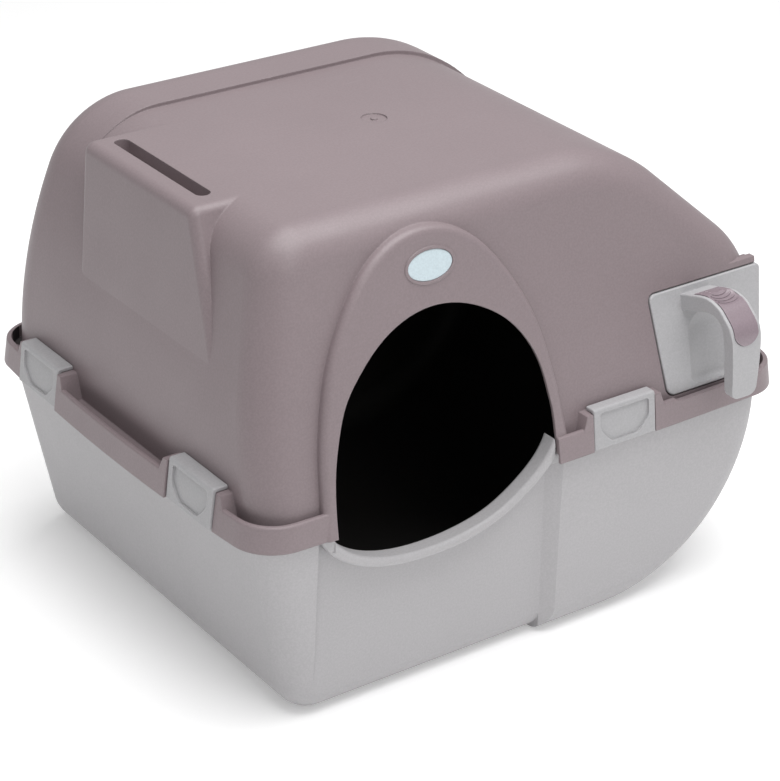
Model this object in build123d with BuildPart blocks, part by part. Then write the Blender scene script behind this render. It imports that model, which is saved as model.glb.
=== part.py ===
from build123d import *
import os
from math import sin, cos, tan, radians, sqrt

# Self-cleaning litter box, millimetres, +Z up.
# Origin: on the floor, below the middle of the rim rectangle. Entrance faces -Y, tray end is +X.
os.makedirs("parts", exist_ok=True)

# ---------------------------------------------------------------- driving dimensions
RIM_X, RIM_Y = 292.0, 232.0          # rim half sizes at mid side
BOW_X, BOW_Y = 12.0, 4.7             # how far the sides pull in towards the corners
RIM_R = 40.0                         # rim corner radius in plan
SKIRT_DRAFT = 0.13                   # rim skirt leans in per mm of height
Z_SKIRT = 179.0                      # lower edge of the skirt
Z_SEAT = 187.0                       # underside of the rim floor, base edge butts here
Z_FLOOR = 190.0                      # rim floor, top
Z_LIP = 202.0                        # rim lip, top
Z_BLOCK = 213.0                      # raised blocks below the clips, top
WALL = 3.0
Z_TOP = 424.5                        # hood top
BAND = 3.5                           # raised band along the back of the top
Y_BAND = 126.0
X_LEFT, Z_BARREL = -269.0, 209.0     # left wall of the hood: foot, and height where its barrel arc starts
BARREL_R, BARREL_A = 458.0, 20.6     # radius and end angle of that arc
SQUARE_A, SQUARE_R = 12.1, 45.0       # squarer shoulder in front of the side panel: lean of its wall, radius into the roof
Y_SQUARE = -60.0                     # rear end of that shoulder, within the side panel
LEAN_F = 0.2126                      # front wall lean
LEAN_B = 0.09                        # back wall lean
Y_WALL = 222.4                       # hood front wall at skirt level
ARC1_C, ARC1_R = (70.0, 274.5), 150.0
ARC2_C, ARC2_R = (174.7, 254.7), 95.0
A1 = 41.8                            # angle where the two arcs meet by a straight run
CLIP_W = 68.0
BASE_ARC_X, BASE_ARC_R = 92.0, 170.0


def yw(z):
    """front wall of the hood, outer face"""
    return -Y_WALL + (z - Z_SKIRT) * LEAN_F


def yb(z):
    """back wall of the hood, outer face"""
    return 222.0 - (z - Z_SKIRT) * LEAN_B


def yf(z):
    """front wall of the base at the left, outer face"""
    return -(211.0 + z * 11.0 / 179.0)


def ybb(z):
    """back wall of the base, outer face"""
    return 213.0 + z * 9.0 / 179.0


def hood_profile(d, z0, zt, square=False):
    """closed XZ outline of the hood, d outside the nominal arcs; square gives the tighter left shoulder"""
    dl = min(d, 0.0)
    # left wall: vertical foot, barrel arc, then the tighter arc into the roof
    rb = BARREL_R + dl
    ab = radians(SQUARE_A if square else BARREL_A)
    cb = (X_LEFT + BARREL_R, Z_BARREL)
    p_foot = (cb[0] - rb, Z_BARREL)
    p_mid = (cb[0] - rb * cos(ab / 2), cb[1] + rb * sin(ab / 2))
    p_wall = (cb[0] - rb * cos(ab), cb[1] + rb * sin(ab))
    rt = (zt - p_wall[1]) / (1.0 - sin(ab))
    c = (p_wall[0] + rt * cos(ab), zt - rt)
    p_arc = p_wall
    if square:
        rt = SQUARE_R + dl
        k = -cos(ab) * p_wall[0] + sin(ab) * p_wall[1]
        c = ((sin(ab) * (zt - rt) - k + rt) / cos(ab), zt - rt)
        p_arc = (c[0] - rt * cos(ab), c[1] + rt * sin(ab))
    am1 = (ab + radians(90.0)) / 2
    mid = (c[0] - rt * cos(am1), c[1] + rt * sin(am1))
    r1, r2 = ARC1_R + d, ARC2_R + d
    s, co = sin(radians(A1)), cos(radians(A1))
    q0 = (ARC1_C[0], ARC1_C[1] + r1)
    q1 = (ARC1_C[0] + r1 * s, ARC1_C[1] + r1 * co)
    qm = (ARC1_C[0] + r1 * sin(radians(A1 / 2)), ARC1_C[1] + r1 * cos(radians(A1 / 2)))
    q2 = (ARC2_C[0] + r2 * s, ARC2_C[1] + r2 * co)
    q3 = (ARC2_C[0] + r2, ARC2_C[1])
    am = radians((A1 + 90.0) / 2)
    q2m = (ARC2_C[0] + r2 * sin(am), ARC2_C[1] + r2 * cos(am))
    Line((p_foot[0], z0), p_foot)
    ThreePointArc(p_foot, p_mid, p_wall)
    if square:
        Line(p_wall, p_arc)
    ThreePointArc(p_arc, mid, (c[0], zt))
    Line((c[0], zt), q0)
    ThreePointArc(q0, qm, q1)
    Line(q1, q2)
    ThreePointArc(q2, q2m, q3)
    Line(q3, (q3[0], z0))
    Line((q3[0], z0), (p_foot[0], z0))


def on_front(e, off=0.0):
    return all(abs(p.Y - (yw(p.Z) + off)) < 0.02 for p in (e @ 0, e @ 0.5, e @ 1))


def on_back(e, off=0.0):
    return all(abs(p.Y - (yb(p.Z) - off)) < 0.02 for p in (e @ 0, e @ 0.5, e @ 1))


def hood_body(d, z0, ztop, y_lo, y_hi, r_front, r_back, square=False):
    """one hood volume; d is 0 outside, -WALL inside"""
    o = max(0.0, -d)
    of, ob = o / cos(radians(12.0)), o * 1.004
    with BuildPart() as b:
        with BuildSketch(Plane.XZ):
            with BuildLine():
                hood_profile(d, z0, ztop, square)
            make_face()
        extrude(amount=260, both=True)
        with BuildSketch(Plane.YZ):
            with BuildLine():
                a, c = z0 - 1.0, 450.0
                Polyline((yw(a) + of, a), (yw(c) + of, c), (yb(c) - ob, c), (yb(a) - ob, a), close=True)
            make_face()
        extrude(amount=400, both=True, mode=Mode.INTERSECT)
        if r_front:
            es = [e for e in b.edges() if on_front(e, of) and not (abs((e @ 0).Z - z0) < .01 and abs((e @ 1).Z - z0) < .01)]
            fillet(es, r_front)
        if r_back:
            es = [e for e in b.edges() if on_back(e, ob) and not (abs((e @ 0).Z - z0) < .01 and abs((e @ 1).Z - z0) < .01)]
            fillet(es, r_back)
        if y_lo > -250:
            split(bisect_by=Plane((0, y_lo, 0), z_dir=(0, 1, 0)), keep=Keep.TOP)
        if y_hi < 250:
            split(bisect_by=Plane((0, y_hi, 0), z_dir=(0, 1, 0)), keep=Keep.BOTTOM)
    return b.part


def plan_prism(inset, z0, z1, lean=0.0):
    """bowed rounded rectangle of the rim, inset, between two heights"""
    with BuildPart() as b:
        for z in (z0, z1):
            i = inset + (z - Z_SKIRT) * lean
            hx, hy = RIM_X - i, RIM_Y - i
            cx, cy = hx - BOW_X, hy - BOW_Y
            with BuildSketch(Plane.XY.offset(z)) as s:
                with BuildLine():
                    ThreePointArc((-cx, -cy), (0, -hy), (cx, -cy))
                    ThreePointArc((cx, -cy), (hx, 0), (cx, cy))
                    ThreePointArc((cx, cy), (0, hy), (-cx, cy))
                    ThreePointArc((-cx, cy), (-hx, 0), (-cx, -cy))
                make_face()
                fillet(s.vertices(), RIM_R - i)
        loft(ruled=True)
    return b.part


# clip places: (name, centre along the side, rotation about Z, distance of the outer face from the origin)
CLIPS = [
    ("clip_front", 92.0, 0.0, 231.4),
    ("clip_left_front", 128.0, -90.0, 288.2),
    ("clip_left_rear", -128.0, -90.0, 288.2),
    ("clip_back_right", -92.0, 180.0, 231.4),
    ("clip_back_left", 92.0, 180.0, 231.4),
]
# In the local frame of a clip the outer face looks to -Y and the side runs along X.


def clip_loc(u, rot, dist):
    """location that carries the local clip frame (outer face at y = -dist, centre x = u) into place"""
    return Location((0, 0, 0), (0, 0, rot)) * Location((u, 0, 0))


PIV_Y_IN = 6.0                       # pivot behind the outer face
PIV_Z = 183.6
PIN_R = 1.5

# arch crease on the front wall and entrance outline, XZ
ARCH = [(-217.5, 200), (-214, 240), (-207, 280), (-196, 317), (-179, 350), (-156, 381), (-128, 401), (-93, 408),
        (-60, 400), (-33, 380), (-10, 350), (8, 317), (20, 280), (28, 240), (33, 200)]
ENTR = [(-206.5, 200), (-202, 236), (-195, 262), (-185, 286), (-170, 305), (-148, 325), (-121, 339), (-93, 344),
        (-65, 340), (-38, 328), (-17, 312), (0, 290), (11, 264), (16.5, 236), (19, 200)]
SILL_IN = [(-213, 186), (-200, 166), (-180, 151.5), (-150, 141), (-110, 137), (-72, 140), (-42, 148), (-14, 164), (8, 184), (17.5, 201)]
SILL_OUT = [(-222, 183), (-209, 161), (-190, 146.5), (-160, 134.5), (-111, 128.5), (-70, 131.5), (-38, 141), (-8, 158), (15, 178), (26, 201)]


def slab(off_a, off_b, z0=150.0, z1=450.0):
    """wedge of space between two planes parallel to the leaning front wall"""
    with BuildPart() as b:
        with BuildSketch(Plane.YZ):
            with BuildLine():
                Polyline((yw(z0) + off_a, z0), (yw(z1) + off_a, z1), (yw(z1) + off_b, z1), (yw(z0) + off_b, z0), close=True)
            make_face()
        extrude(amount=400, both=True)
    return b.part


ARCH_PROUD = 8.6


def inset_points(pts, d):
    """points of an open outline moved d to its inner side"""
    out = []
    for i, (x, z) in enumerate(pts):
        a, b = pts[max(i - 1, 0)], pts[min(i + 1, len(pts) - 1)]
        tx, tz = b[0] - a[0], b[1] - a[1]
        k = d / sqrt(tx * tx + tz * tz)
        out.append((x + tz * k, z - tx * k))
    return out


def arch_body(inset, face_in, z0):
    with BuildPart() as b:
        with BuildSketch(Plane.XZ.offset(150)):
            with BuildLine():
                sp = Spline(*inset_points(ARCH, inset), tangents=((0.12, 1), (0.12, -1)))
                Polyline(sp @ 1, (36 - inset, z0), (-219 + inset, z0), sp @ 0)
            make_face()
        extrude(amount=110)
        add(slab(-ARCH_PROUD + face_in, 70), mode=Mode.INTERSECT)
    return b.part


def box(x0, x1, y0, y1, z0, z1):
    return Pos((x0 + x1) / 2, (y0 + y1) / 2, (z0 + z1) / 2) * Box(x1 - x0, y1 - y0, z1 - z0, mode=Mode.PRIVATE)



# ---------------------------------------------------------------- helpers for mounting on the walls
AL, BE = 12.0022, 5.1428             # lean angles that belong to LEAN_F and LEAN_B


def wall_plane(x, z, off, front=True):
    """plane parallel to the front or back wall, 'off' inside its outer face, z axis pointing inwards"""
    if front:
        n = Vector(0, cos(radians(AL)), -sin(radians(AL)))
        o = Vector(x, yw(z), z) + n * off
    else:
        n = Vector(0, -cos(radians(BE)), -sin(radians(BE)))
        o = Vector(x, yb(z), z) + n * off
    return Plane(origin=(o.X, o.Y, o.Z), x_dir=(1, 0, 0), z_dir=(n.X, n.Y, n.Z))


SCREW_D, PILOT_D, PASS_D = 3.0, 3.1, 3.3
TAB_OFF, TAB_T = 9.1, 2.5
# inner screws: x, z, front wall?
GRILL_SCREWS = [(114.0, 313.0, True), (6.0, 364.0, True), (114.0, 313.0, False), (6.0, 364.0, False)]
RAIL_SCREWS = [(163.0, 195.2, True), (246.0, 195.2, True), (163.0, 195.2, False), (246.0, 195.2, False)]
DEFL_SCREWS = [(226.0, 306.0, True), (226.0, 306.0, False)]
INNER = GRILL_SCREWS + RAIL_SCREWS + DEFL_SCREWS

# tray plate outline, XZ (both side edges slant)
PLATE = [(136.5, 293.5), (264.3, 293.5), (256.0, 200.5), (149.5, 200.5)]
PLATE_R = [5.5, 4.5, 6.0, 9.0]


def plate_prism(grow, off_a, off_b):
    """prism with the outline of the tray plate, grown, between two planes parallel to the front wall"""
    with BuildPart() as b:
        with BuildSketch(Plane.XZ.offset(170)) as s:
            with BuildLine():
                Polyline(*PLATE, close=True)
            make_face()
            for (x, z), r in zip(PLATE, PLATE_R):
                fillet(s.vertices().sort_by_distance((x, z, 0))[0], r)
            if grow:
                offset(amount=grow, kind=Kind.ARC)
        extrude(amount=70)
        add(slab(off_a, off_b), mode=Mode.INTERSECT)
    return b.part


X_FRAME0, X_FRAME1 = 254.6, 259.5    # right edge of the port frame at z 206 and 297


def frame_space(x_left, z_lo, z_hi):
    """space left of the slanting right edge of the port frame"""
    with BuildPart() as b:
        with BuildSketch(Plane.XZ.offset(150)):
            with BuildLine():
                x = lambda z: X_FRAME0 + (z - 206.0) * (X_FRAME1 - X_FRAME0) / 91.0
                Polyline((x_left, z_lo), (x(z_lo), z_lo), (x(z_hi), z_hi), (x_left, z_hi), close=True)
            make_face()
        extrude(amount=110)
    return b.part


# trough outline, XZ
TR_TOP, TR_BOT = 288.0, 204.0
TROUGH = [(144.0, TR_TOP), (254.0, TR_TOP), (250.0, TR_BOT), (158.0, TR_BOT)]
PORT = [(141.5, 291.0), (256.5, 291.0), (253.5, 200.6), (154.5, 200.6)]

# ---------------------------------------------------------------- hood
with BuildPart() as hollow:
    add(hood_body(-WALL, Z_SEAT - 10, Z_TOP - WALL, Y_SQUARE - WALL, 260, 0, 37.0))
    add(hood_body(-WALL, Z_SEAT - 10, Z_TOP - WALL, -260, Y_SQUARE - WALL, 31.0, 0, True))
in_main = hollow.part
in_clear = hood_body(-WALL - 1.3, Z_SEAT - 10, Z_TOP - WALL - 1.3, -260, 260, 29.0, 35.0)

with BuildPart() as arch_out:
    add(arch_body(0, 0, Z_SKIRT))
    fr = [e for e in arch_out.edges()
          if all(abs(p.Y - (yw(p.Z) - ARCH_PROUD)) < 0.05 for p in (e @ 0, e @ 0.5, e @ 1)) and (e @ 0.5).Z > Z_SKIRT + 5]
    fillet(fr, 6.0)


def clip_tool(u, dist):
    """space cut out of skirt and block for a clip, local frame"""
    with BuildPart() as b:
        with BuildSketch(Plane.YZ.offset(u)):
            with BuildLine():
                Polyline((-dist - 8, 168), (-dist + 5.6, 168), (-dist + 5.6, 182), (-dist + 8.3, Z_BLOCK), (-dist + 8.4, 230),
                         (-dist - 8, 230), close=True)
            make_face()
        extrude(amount=CLIP_W / 2 + 0.6, both=True)
    return b.part


def clip_block(u, dist):
    """raised block below a clip with sloping ends, local frame"""
    with BuildPart() as b:
        with BuildSketch(Plane.XZ.offset(dist - 30)):
            with BuildLine():
                h = CLIP_W / 2
                Polyline((u - h - 15, Z_SEAT), (u - h - 15, Z_FLOOR), (u - h - 7, Z_BLOCK), (u + h + 7, Z_BLOCK),
                         (u + h + 15, Z_FLOOR), (u + h + 15, Z_SEAT), close=True)
            make_face()
        extrude(amount=40)
    return b.part


PAN_Y, PAN_Z, PAN_LEAN = -131.0, 295.0, 0.383    # front end of the side panel: a point on it and its lean


def behind_panel_front(shift):
    """space behind the leaning front end of the side panel, moved back by shift"""
    with BuildPart() as b:
        with BuildSketch(Plane.YZ.offset(-300)):
            with BuildLine():
                y = lambda z: PAN_Y + shift + (z - PAN_Z) * PAN_LEAN
                Polyline((y(225), 225), (y(435), 435), (180, 435), (180, 225), close=True)
            make_face()
        extrude(amount=200)
    return b.part


rim_full = plan_prism(0.15, Z_SKIRT, 216.0, SKIRT_DRAFT)
LIP_EDGE = 1.3                       # height of the bevel on the lip
with BuildPart() as rim_ring:
    add(plan_prism(0, Z_SKIRT, Z_LIP - LIP_EDGE, SKIRT_DRAFT))
    i0 = (Z_LIP - LIP_EDGE - Z_SKIRT) * SKIRT_DRAFT
    k2 = (SKIRT_DRAFT * LIP_EDGE + 1.0) / LIP_EDGE
    add(plan_prism(i0 - (Z_LIP - LIP_EDGE - Z_SKIRT) * k2, Z_LIP - LIP_EDGE, Z_LIP, k2))
    add(plan_prism(7.0, Z_FLOOR, 220.0), mode=Mode.SUBTRACT)

with BuildPart() as hood_shell:
    add(hood_body(0.0, Z_SEAT, Z_TOP, Y_SQUARE, Y_BAND + 4, 0, 0))
    add(hood_body(0.0, Z_SEAT, Z_TOP, -260, Y_SQUARE, 34.0, 0, True))
    add(hood_body(BAND, Z_SEAT, Z_TOP + BAND, Y_BAND, 260, 0, 40.0))
    add(rim_ring.part)
    for name, u, rot, dist in CLIPS:
        blk = (clip_loc(0, rot, 0) * clip_block(u, dist)) & rim_full
        add(blk)
    # side panel on the left wall, its front end leaning back
    with BuildPart(mode=Mode.PRIVATE) as pan:
        with BuildSketch(Plane.XZ.offset(160)) as s:
            with BuildLine():
                Polyline((-264.2, 235), (-249.7, Z_TOP), (-150, Z_TOP), (-150, 235), close=True)
            make_face()
            fillet(s.vertices().sort_by_distance((-249.7, Z_TOP, 0))[0], 10.0)
        extrude(amount=-255)
        add(behind_panel_front(0.0), mode=Mode.INTERSECT)
        fillet([e for e in pan.edges() if (e @ .5).X < -245 and abs((e @ 0).Z - (e @ 1).Z) > 50], 8.5)
    add(pan.part)
    add(arch_out.part)
    # hollow
    add(in_main, mode=Mode.SUBTRACT)
    with BuildPart(mode=Mode.PRIVATE) as pan_in:
        with BuildSketch(Plane.XZ.offset(160)) as s:
            with BuildLine():
                Polyline((-261.2, 235), (-247.0, Z_TOP - 3), (-150, Z_TOP - 3), (-150, 235), close=True)
            make_face()
            fillet(s.vertices().sort_by_distance((-247, Z_TOP - 3, 0))[0], 7.0)
        extrude(amount=-252)
        add(behind_panel_front(3.3), mode=Mode.INTERSECT)
    add(pan_in.part, mode=Mode.SUBTRACT)
    add(arch_body(WALL, 3.07, 165.0), mode=Mode.SUBTRACT)
    add(plan_prism(3.0, 165.0, Z_SEAT), mode=Mode.SUBTRACT)
    # frame of the tray port: inner thickening, and the jamb that stands out of the rounded corner
    with BuildPart(mode=Mode.PRIVATE) as frm:
        add(plate_prism(6.5, 0.0, 6.6))
        add(frame_space(100.0, 150.0, 330.0), mode=Mode.INTERSECT)
    add(frm.part)
    with BuildPart(mode=Mode.PRIVATE) as jamb:
        add(frame_space(248.0, 206.0, 297.0))
        add(slab(0.0, 14.0), mode=Mode.INTERSECT)
    add(jamb.part)
    # entrance
    with BuildSketch(Plane.XZ.offset(120)):
        with BuildLine():
            sp = Spline(*ENTR, tangents=((0.08, 1), (0.02, -1)))
            Polyline(sp @ 1, (20.8, 165), (-208, 165), sp @ 0)
        make_face()
    extrude(amount=140, mode=Mode.SUBTRACT)
    # clip places
    for name, u, rot, dist in CLIPS:
        add(clip_loc(0, rot, 0) * clip_tool(u, dist), mode=Mode.SUBTRACT)
    # tray port
    add(plate_prism(1.3, -20.0, 3.2), mode=Mode.SUBTRACT)
    with BuildSketch(Plane.XZ.offset(165)) as s:
        with BuildLine():
            Polyline(*PORT, close=True)
        make_face()
        fillet(s.vertices(), 6.0)
    extrude(amount=90, mode=Mode.SUBTRACT)
    # finger slot in the top
    add(box(-233.5, -213.5, -65.5, 82.5, 409.0, Z_TOP - 1))
    with BuildSketch(Plane.XY.offset(412.0)):
        with Locations((-223.5, 8.5)):
            SlotOverall(142.0, 14.0, rotation=90)
    extrude(amount=20, mode=Mode.SUBTRACT)
    # moulding gate mark on the top
    with BuildSketch(Plane.XY.offset(Z_TOP - 1.2)):
        with Locations((-14, 2)):
            Circle(11.5)
            Circle(3.0, mode=Mode.SUBTRACT)
    extrude(amount=3, mode=Mode.SUBTRACT)
    # oval seat of the badge with its raised ring
    bp = wall_plane(-91, 375.5, -ARCH_PROUD * cos(radians(AL)))
    with BuildSketch(bp.offset(0.6)):
        Ellipse(25.0, 15.6)
    extrude(amount=-1.4)
    with BuildSketch(bp.offset(1.0)):
        Ellipse(22.3, 12.9)
    extrude(amount=-4.0, mode=Mode.SUBTRACT)
    # screw bosses inside
    for x, z, fr in INNER:
        with BuildSketch(wall_plane(x, z, TAB_OFF - 0.05, fr)):
            Circle(4.5)
        extrude(amount=-(TAB_OFF - 0.05 - 2.0))
        with BuildSketch(wall_plane(x, z, TAB_OFF, fr)):
            Circle(PILOT_D / 2)
        extrude(amount=-7.6, mode=Mode.SUBTRACT)
print("hood", hood_shell.part.is_valid, len(hood_shell.part.solids()), hood_shell.part.volume, hood_shell.part.bounding_box())
hood_shell.part.label = "hood_shell"
export_step(hood_shell.part, "parts/hood_shell.step")


# ---------------------------------------------------------------- base
KB = 35.0 / 179.0                    # left wall of the base leans out
AB = 11.0636


def base_profile(d, z1):
    xl = lambda z: -236.0 - KB * z + d * 1.0189
    r = 34.0 - d
    xc = xl(d)
    t = r * tan(radians((90.0 - AB) / 2))
    pb, pw = (xc + t, d), (xc - t * sin(radians(AB)), d + t * cos(radians(AB)))
    c = (xc + t, d + r)
    am = radians((-90.0 - (180.0 - AB)) / 2)
    pm = (c[0] + r * cos(am), c[1] + r * sin(am))
    ra = BASE_ARC_R - d
    a0, a1 = (BASE_ARC_X, d), (BASE_ARC_X + ra, BASE_ARC_R)
    am2 = (BASE_ARC_X + ra * sin(radians(45)), BASE_ARC_R - ra * cos(radians(45)))
    Line((xl(z1), z1), pw)
    ThreePointArc(pw, pm, pb)
    Line(pb, a0)
    ThreePointArc(a0, am2, a1)
    Line(a1, (a1[0], z1))
    Line((a1[0], z1), (xl(z1), z1))


def base_body(d, z1, right):
    """base volume, inset d; right=True gives the fuller front of the right hand part"""
    fa = (lambda z: -(220.5 + z * 1.5 / 179.0)) if right else yf
    with BuildPart() as b:
        with BuildSketch(Plane.XZ):
            with BuildLine():
                base_profile(d, z1)
            make_face()
        extrude(amount=260, both=True)
        with BuildSketch(Plane.YZ):
            with BuildLine():
                lo, hi = -10.0, 220.0
                Polyline((fa(lo) + d, lo), (fa(hi) + d, hi), (ybb(hi) - d, hi), (ybb(lo) - d, lo), close=True)
            make_face()
        extrude(amount=400, both=True, mode=Mode.INTERSECT)
        fe = [e for e in b.edges() if all(abs(p.Y - (fa(p.Z) + d)) < .02 for p in (e @ 0, e @ .5, e @ 1))
              and not (abs((e @ 0).Z - z1) < .01 and abs((e @ 1).Z - z1) < .01)]
        fillet(fe, 26.0 - d)
        be = [e for e in b.edges() if all(abs(p.Y - (ybb(p.Z) - d)) < .02 for p in (e @ 0, e @ .5, e @ 1))
              and not (abs((e @ 0).Z - z1) < .01 and abs((e @ 1).Z - z1) < .01)]
        fillet(be, 26.0 - d)
    return b.part


Z_EDGE = Z_SEAT - 0.3
X_STEP, X_RISE = 19.0, 32.0          # slanted riser between middle panel and the fuller right part
Y_MID = -212.0                       # middle panel, outer face


with BuildPart() as base_shell:
    add(base_body(0.0, Z_EDGE, False))
    with BuildPart(mode=Mode.PRIVATE) as br:
        add(base_body(0.0, Z_EDGE, True))
        split(bisect_by=Plane((X_STEP, 0, 0), z_dir=(1, 0, 0)), keep=Keep.TOP)
    add(br.part)
    # stiffening flange below the rim of the hood
    add(plan_prism(4.4, 181.2, 184.2))
    # recess of the middle panel
    with BuildPart(mode=Mode.PRIVATE) as mid:
        with BuildSketch(Plane.XY.offset(-5.0)):
            with BuildLine():
                Polyline((-220.5, Y_MID), (X_STEP, Y_MID), (X_RISE, -222.4), (X_RISE, -262.0), (-220.5, -262.0), close=True)
            make_face()
        extrude(amount=180.0)
    add(mid.part, mode=Mode.SUBTRACT)
    with BuildPart(mode=Mode.PRIVATE) as cav:
        add(base_body(WALL, 200.0, False))
        with BuildPart(mode=Mode.PRIVATE) as cr:
            add(base_body(WALL, 200.0, True))
            split(bisect_by=Plane((X_RISE + WALL, 0, 0), z_dir=(1, 0, 0)), keep=Keep.TOP)
        add(cr.part)
        add(box(-223.5, X_RISE + WALL, -262.0, Y_MID + WALL, -5.0, 175.0 + WALL), mode=Mode.SUBTRACT)
    add(cav.part, mode=Mode.SUBTRACT)
    # entrance: cut the wall above the sill
    with BuildSketch(Plane.XZ.offset(130)):
        with BuildLine():
            sp = Spline(*SILL_OUT)
            Polyline(sp @ 1, (26, 230), (-222, 230), sp @ 0)
        make_face()
    extrude(amount=140, mode=Mode.SUBTRACT)
    add(box(-226.0, 40.0, -262.0, -222.2, Z_SKIRT - 5, 200.0), mode=Mode.SUBTRACT)
    # rolled sill
    with BuildPart(mode=Mode.PRIVATE) as sill:
        with BuildSketch(Plane.XZ.offset(209.0)):
            with BuildLine():
                so = Spline(*SILL_OUT)
                si = Spline(*SILL_IN)
                Line(so @ 0, si @ 0)
                Line(so @ 1, si @ 1)
            make_face()
        extrude(amount=17.5)
        se = [e for e in sill.edges() if e.length > 200]
        fillet(se, 3.2)
        add(box(-240, -206, -240, -200, Z_EDGE, 260), mode=Mode.SUBTRACT)
        add(box(17.8, 60, -240, -200, Z_EDGE, 260), mode=Mode.SUBTRACT)
        add(box(-240, -207.6, -240, -225.7, 165, 260), mode=Mode.SUBTRACT)
    add(sill.part)
    # hinge places of the clips
    for name, u, rot, dist in CLIPS:
        L = clip_loc(0, rot, 0)
        wall_y = {0.0: 221.0, 180.0: 221.4, -90.0: 270.5}[rot]
        add(L * box(u - CLIP_W / 2 - 3, u + CLIP_W / 2 + 3, -dist - 6, -wall_y - 1.1, 170, Z_EDGE + 1), mode=Mode.SUBTRACT)
        for s in (-1, 1):
            with BuildPart(mode=Mode.PRIVATE) as ear:
                with BuildSketch(Plane.YZ.offset(u + s * 28.0)):
                    with Locations((-dist + PIV_Y_IN, PIV_Z)):
                        Circle(2.9)
                    with BuildLine():
                        Polyline((-dist + PIV_Y_IN, PIV_Z + 2.9), (-wall_y + 0.6, PIV_Z + 2.9), (-wall_y + 0.6, PIV_Z - 5.0),
                                 (-dist + PIV_Y_IN, PIV_Z - 2.9), close=True)
                    make_face()
                    with Locations((-dist + PIV_Y_IN, PIV_Z)):
                        Circle(PIN_R + 0.05, mode=Mode.SUBTRACT)
                extrude(amount=2.2, both=True)
            add(L * ear.part)
base_shell.part.label = "base_shell"
print("base", base_shell.part.is_valid, len(base_shell.part.solids()), base_shell.part.volume, base_shell.part.bounding_box())
export_step(base_shell.part, "parts/base_shell.step")

# ---------------------------------------------------------------- clips and their pins
for name, u, rot, dist in CLIPS:
    leg = {0.0: 15.0, -90.0: 18.9, 180.0: 11.2}[rot]
    with BuildPart() as clip:
        with BuildSketch(Plane.YZ):
            with BuildLine():
                Polyline((-dist, 180.2), (-dist + 4.5, 216.9), (-dist + leg, 216.9), (-dist + leg, 213.6), (-dist + 7.8, 213.6),
                         (-dist + 3.55, 182.3), (-dist + 1.6, 179.8), (-dist + 0.3, 179.8), close=True)
            make_face()
        extrude(amount=CLIP_W / 2, both=True)
        fillet([e for e in clip.edges() if (e @ .5).Z > 216.8 and (e @ .5).Y < -dist + 4.6 and e.length > 30], 2.6)
        fillet([e for e in clip.edges() if abs(abs((e @ .5).X) - CLIP_W / 2) < .01 and (e @ .5).Y < -dist + 3.2 and e.length > 20], 1.4)
        # thumb recess
        pl = Plane(origin=(0, -dist + 2.4, 199.0), x_dir=(1, 0, 0), z_dir=(0, -cos(radians(6.99)), sin(radians(6.99))))
        with BuildSketch(pl) as s:
            with BuildLine():
                Polyline((-27.0, 13.6), (27.0, 13.6), (26.6, -2.5), (14.5, -15.2), (-14.5, -15.2), (-26.6, -2.5), close=True)
            make_face()
            fillet(s.vertices().sort_by(Axis.Y)[-2:], 3.0)
            fillet(s.vertices().sort_by(Axis.Y)[:2], 12.0)
            fillet([v for v in s.vertices() if abs(v.Y + 2.5) < .01], 9.0)
        extrude(amount=3, mode=Mode.SUBTRACT)
        with BuildSketch(pl.offset(-1.9)) as s:
            with BuildLine():
                Polyline((-27.0, 13.6), (27.0, 13.6), (26.6, -2.5), (14.5, -15.2), (-14.5, -15.2), (-26.6, -2.5), close=True)
            make_face()
            fillet(s.vertices().sort_by(Axis.Y)[-2:], 3.0)
            fillet(s.vertices().sort_by(Axis.Y)[:2], 12.0)
            fillet([v for v in s.vertices() if abs(v.Y + 2.5) < .01], 9.0)
        extrude(amount=2.0, mode=Mode.SUBTRACT)
        # reliefs opposite the ears
        for s in (-1, 1):
            add(box(s * 28 - 2.7, s * 28 + 2.7, -dist + 1.9, -dist + 8, 178.0, 190.0), mode=Mode.SUBTRACT)
        # hinge lugs
        for s in (-1, 1):
            with BuildSketch(Plane.YZ.offset(s * 17.0)):
                with Locations((-dist + PIV_Y_IN, PIV_Z)):
                    Circle(2.8)
                with BuildLine():
                    Polyline((-dist + PIV_Y_IN, PIV_Z + 2.8), (-dist + 2.6, PIV_Z + 2.8), (-dist + 1.6, PIV_Z - 2.8),
                             (-dist + PIV_Y_IN, PIV_Z - 2.8), close=True)
                make_face()
            extrude(amount=7.5, both=True)
        with BuildSketch(Plane.YZ):
            with Locations((-dist + PIV_Y_IN, PIV_Z)):
                Circle(PIN_R + 0.06)
        extrude(amount=40, both=True, mode=Mode.SUBTRACT)
    placed = clip_loc(u, rot, dist) * clip.part
    placed.label = name
    print(name, placed.is_valid, len(placed.solids()), placed.bounding_box())
    export_step(placed, "parts/" + name + ".step")

with BuildPart() as clip_hinge_pins:
    for name, u, rot, dist in CLIPS:
        with BuildPart(mode=Mode.PRIVATE) as pin:
            with BuildSketch(Plane.YZ.offset(u)):
                with Locations((-dist + PIV_Y_IN, PIV_Z)):
                    Circle(PIN_R)
            extrude(amount=30.2, both=True)
        add(clip_loc(0, rot, 0) * pin.part)
clip_hinge_pins.part.label = "clip_hinge_pins"
print("pins", clip_hinge_pins.part.is_valid, len(clip_hinge_pins.part.solids()))
export_step(clip_hinge_pins.part, "parts/clip_hinge_pins.step")

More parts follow.
